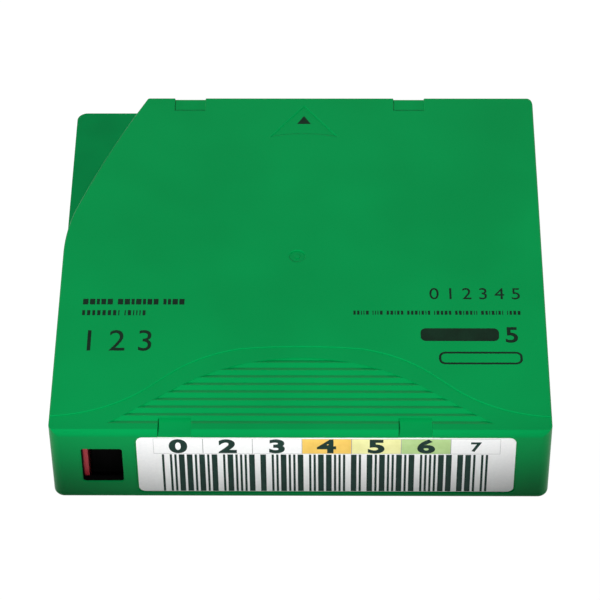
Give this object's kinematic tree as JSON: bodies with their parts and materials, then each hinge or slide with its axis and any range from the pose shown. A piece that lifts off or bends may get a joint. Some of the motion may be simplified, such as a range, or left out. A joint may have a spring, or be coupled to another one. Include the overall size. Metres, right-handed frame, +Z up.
{
  "type": "data tape cartridge",
  "caption": "Flat moulded data tape cartridge: one reel under a brake, sprung access door, write-protect slide, finger grip and label face.",
  "frame": {"origin": "centre of the underside", "axes": "+X to the right along the label face, +Y away from the label towards the end that enters the drive, +Z up"},
  "size_m": [0.1054, 0.102, 0.0215],
  "materials": {
    "case_plastic": "fine satin",
    "door_plastic": "fine satin",
    "label_paper": "smooth coated",
    "screw_steel": "plated",
    "reel_plastic": "satin",
    "clutch_steel": "ground",
    "tape_film": "semi-gloss",
    "brake_plastic": "satin",
    "release_plastic": "satin",
    "spring_steel": "drawn",
    "pin_steel": "turned",
    "clip_plastic": "satin",
    "slider_plastic": "satin",
    "board_laminate": "laminate",
    "chip_resin": "potted"
  },
  "bodies": {
    "case": {"upper_case": "case_plastic", "lower_case": "case_plastic", "barcode_label": "label_paper", "case_screws": "screw_steel", "memory_board": "board_laminate", "memory_chip": "chip_resin", "leader_pin": "pin_steel", "pin_clip": "clip_plastic", "leader_tape": "tape_film", "pin_spring": "spring_steel", "brake_spring": "spring_steel", "door_spring": "spring_steel"},
    "reel": {"reel_hub": "reel_plastic", "reel_upper_flange": "reel_plastic", "drive_plate": "clutch_steel", "tape_pack": "tape_film"},
    "brake": {"brake_button": "brake_plastic"},
    "release": {"release_spider": "release_plastic"},
    "door": {"access_door": "door_plastic"},
    "write_protect": {"write_protect_slider": "slider_plastic"}
  },
  "joints": [
    {"name": "reel_turn", "type": "hinge", "parent": "case", "child": "reel", "pos_m": [-0.0011, 0, 0], "axis": [0, 0, 1], "continuous": true},
    {"name": "brake_lift", "type": "slide", "parent": "case", "child": "brake", "axis": [0, 0, 1], "range_m": [0, 0.0017], "stiffness_N_per_m": 900, "springref_m": -0.004, "deforming": ["brake_spring"]},
    {"name": "release_lift", "type": "slide", "parent": "reel", "child": "release", "axis": [0, 0, 1], "range_m": [0, 0.0017]},
    {"name": "door_open", "type": "slide", "parent": "case", "child": "door", "axis": [0, -1, 0], "range_m": [0, 0.0164], "stiffness_N_per_m": 25, "springref_m": -0.01, "deforming": ["door_spring"]},
    {"name": "write_protect_slide", "type": "slide", "parent": "case", "child": "write_protect", "axis": [1, 0, 0], "range_m": [0, 0.0073]}
  ],
  "couplings": [
    {"joint": "release_lift", "follows": "brake_lift", "ratio": 1}
  ]
}
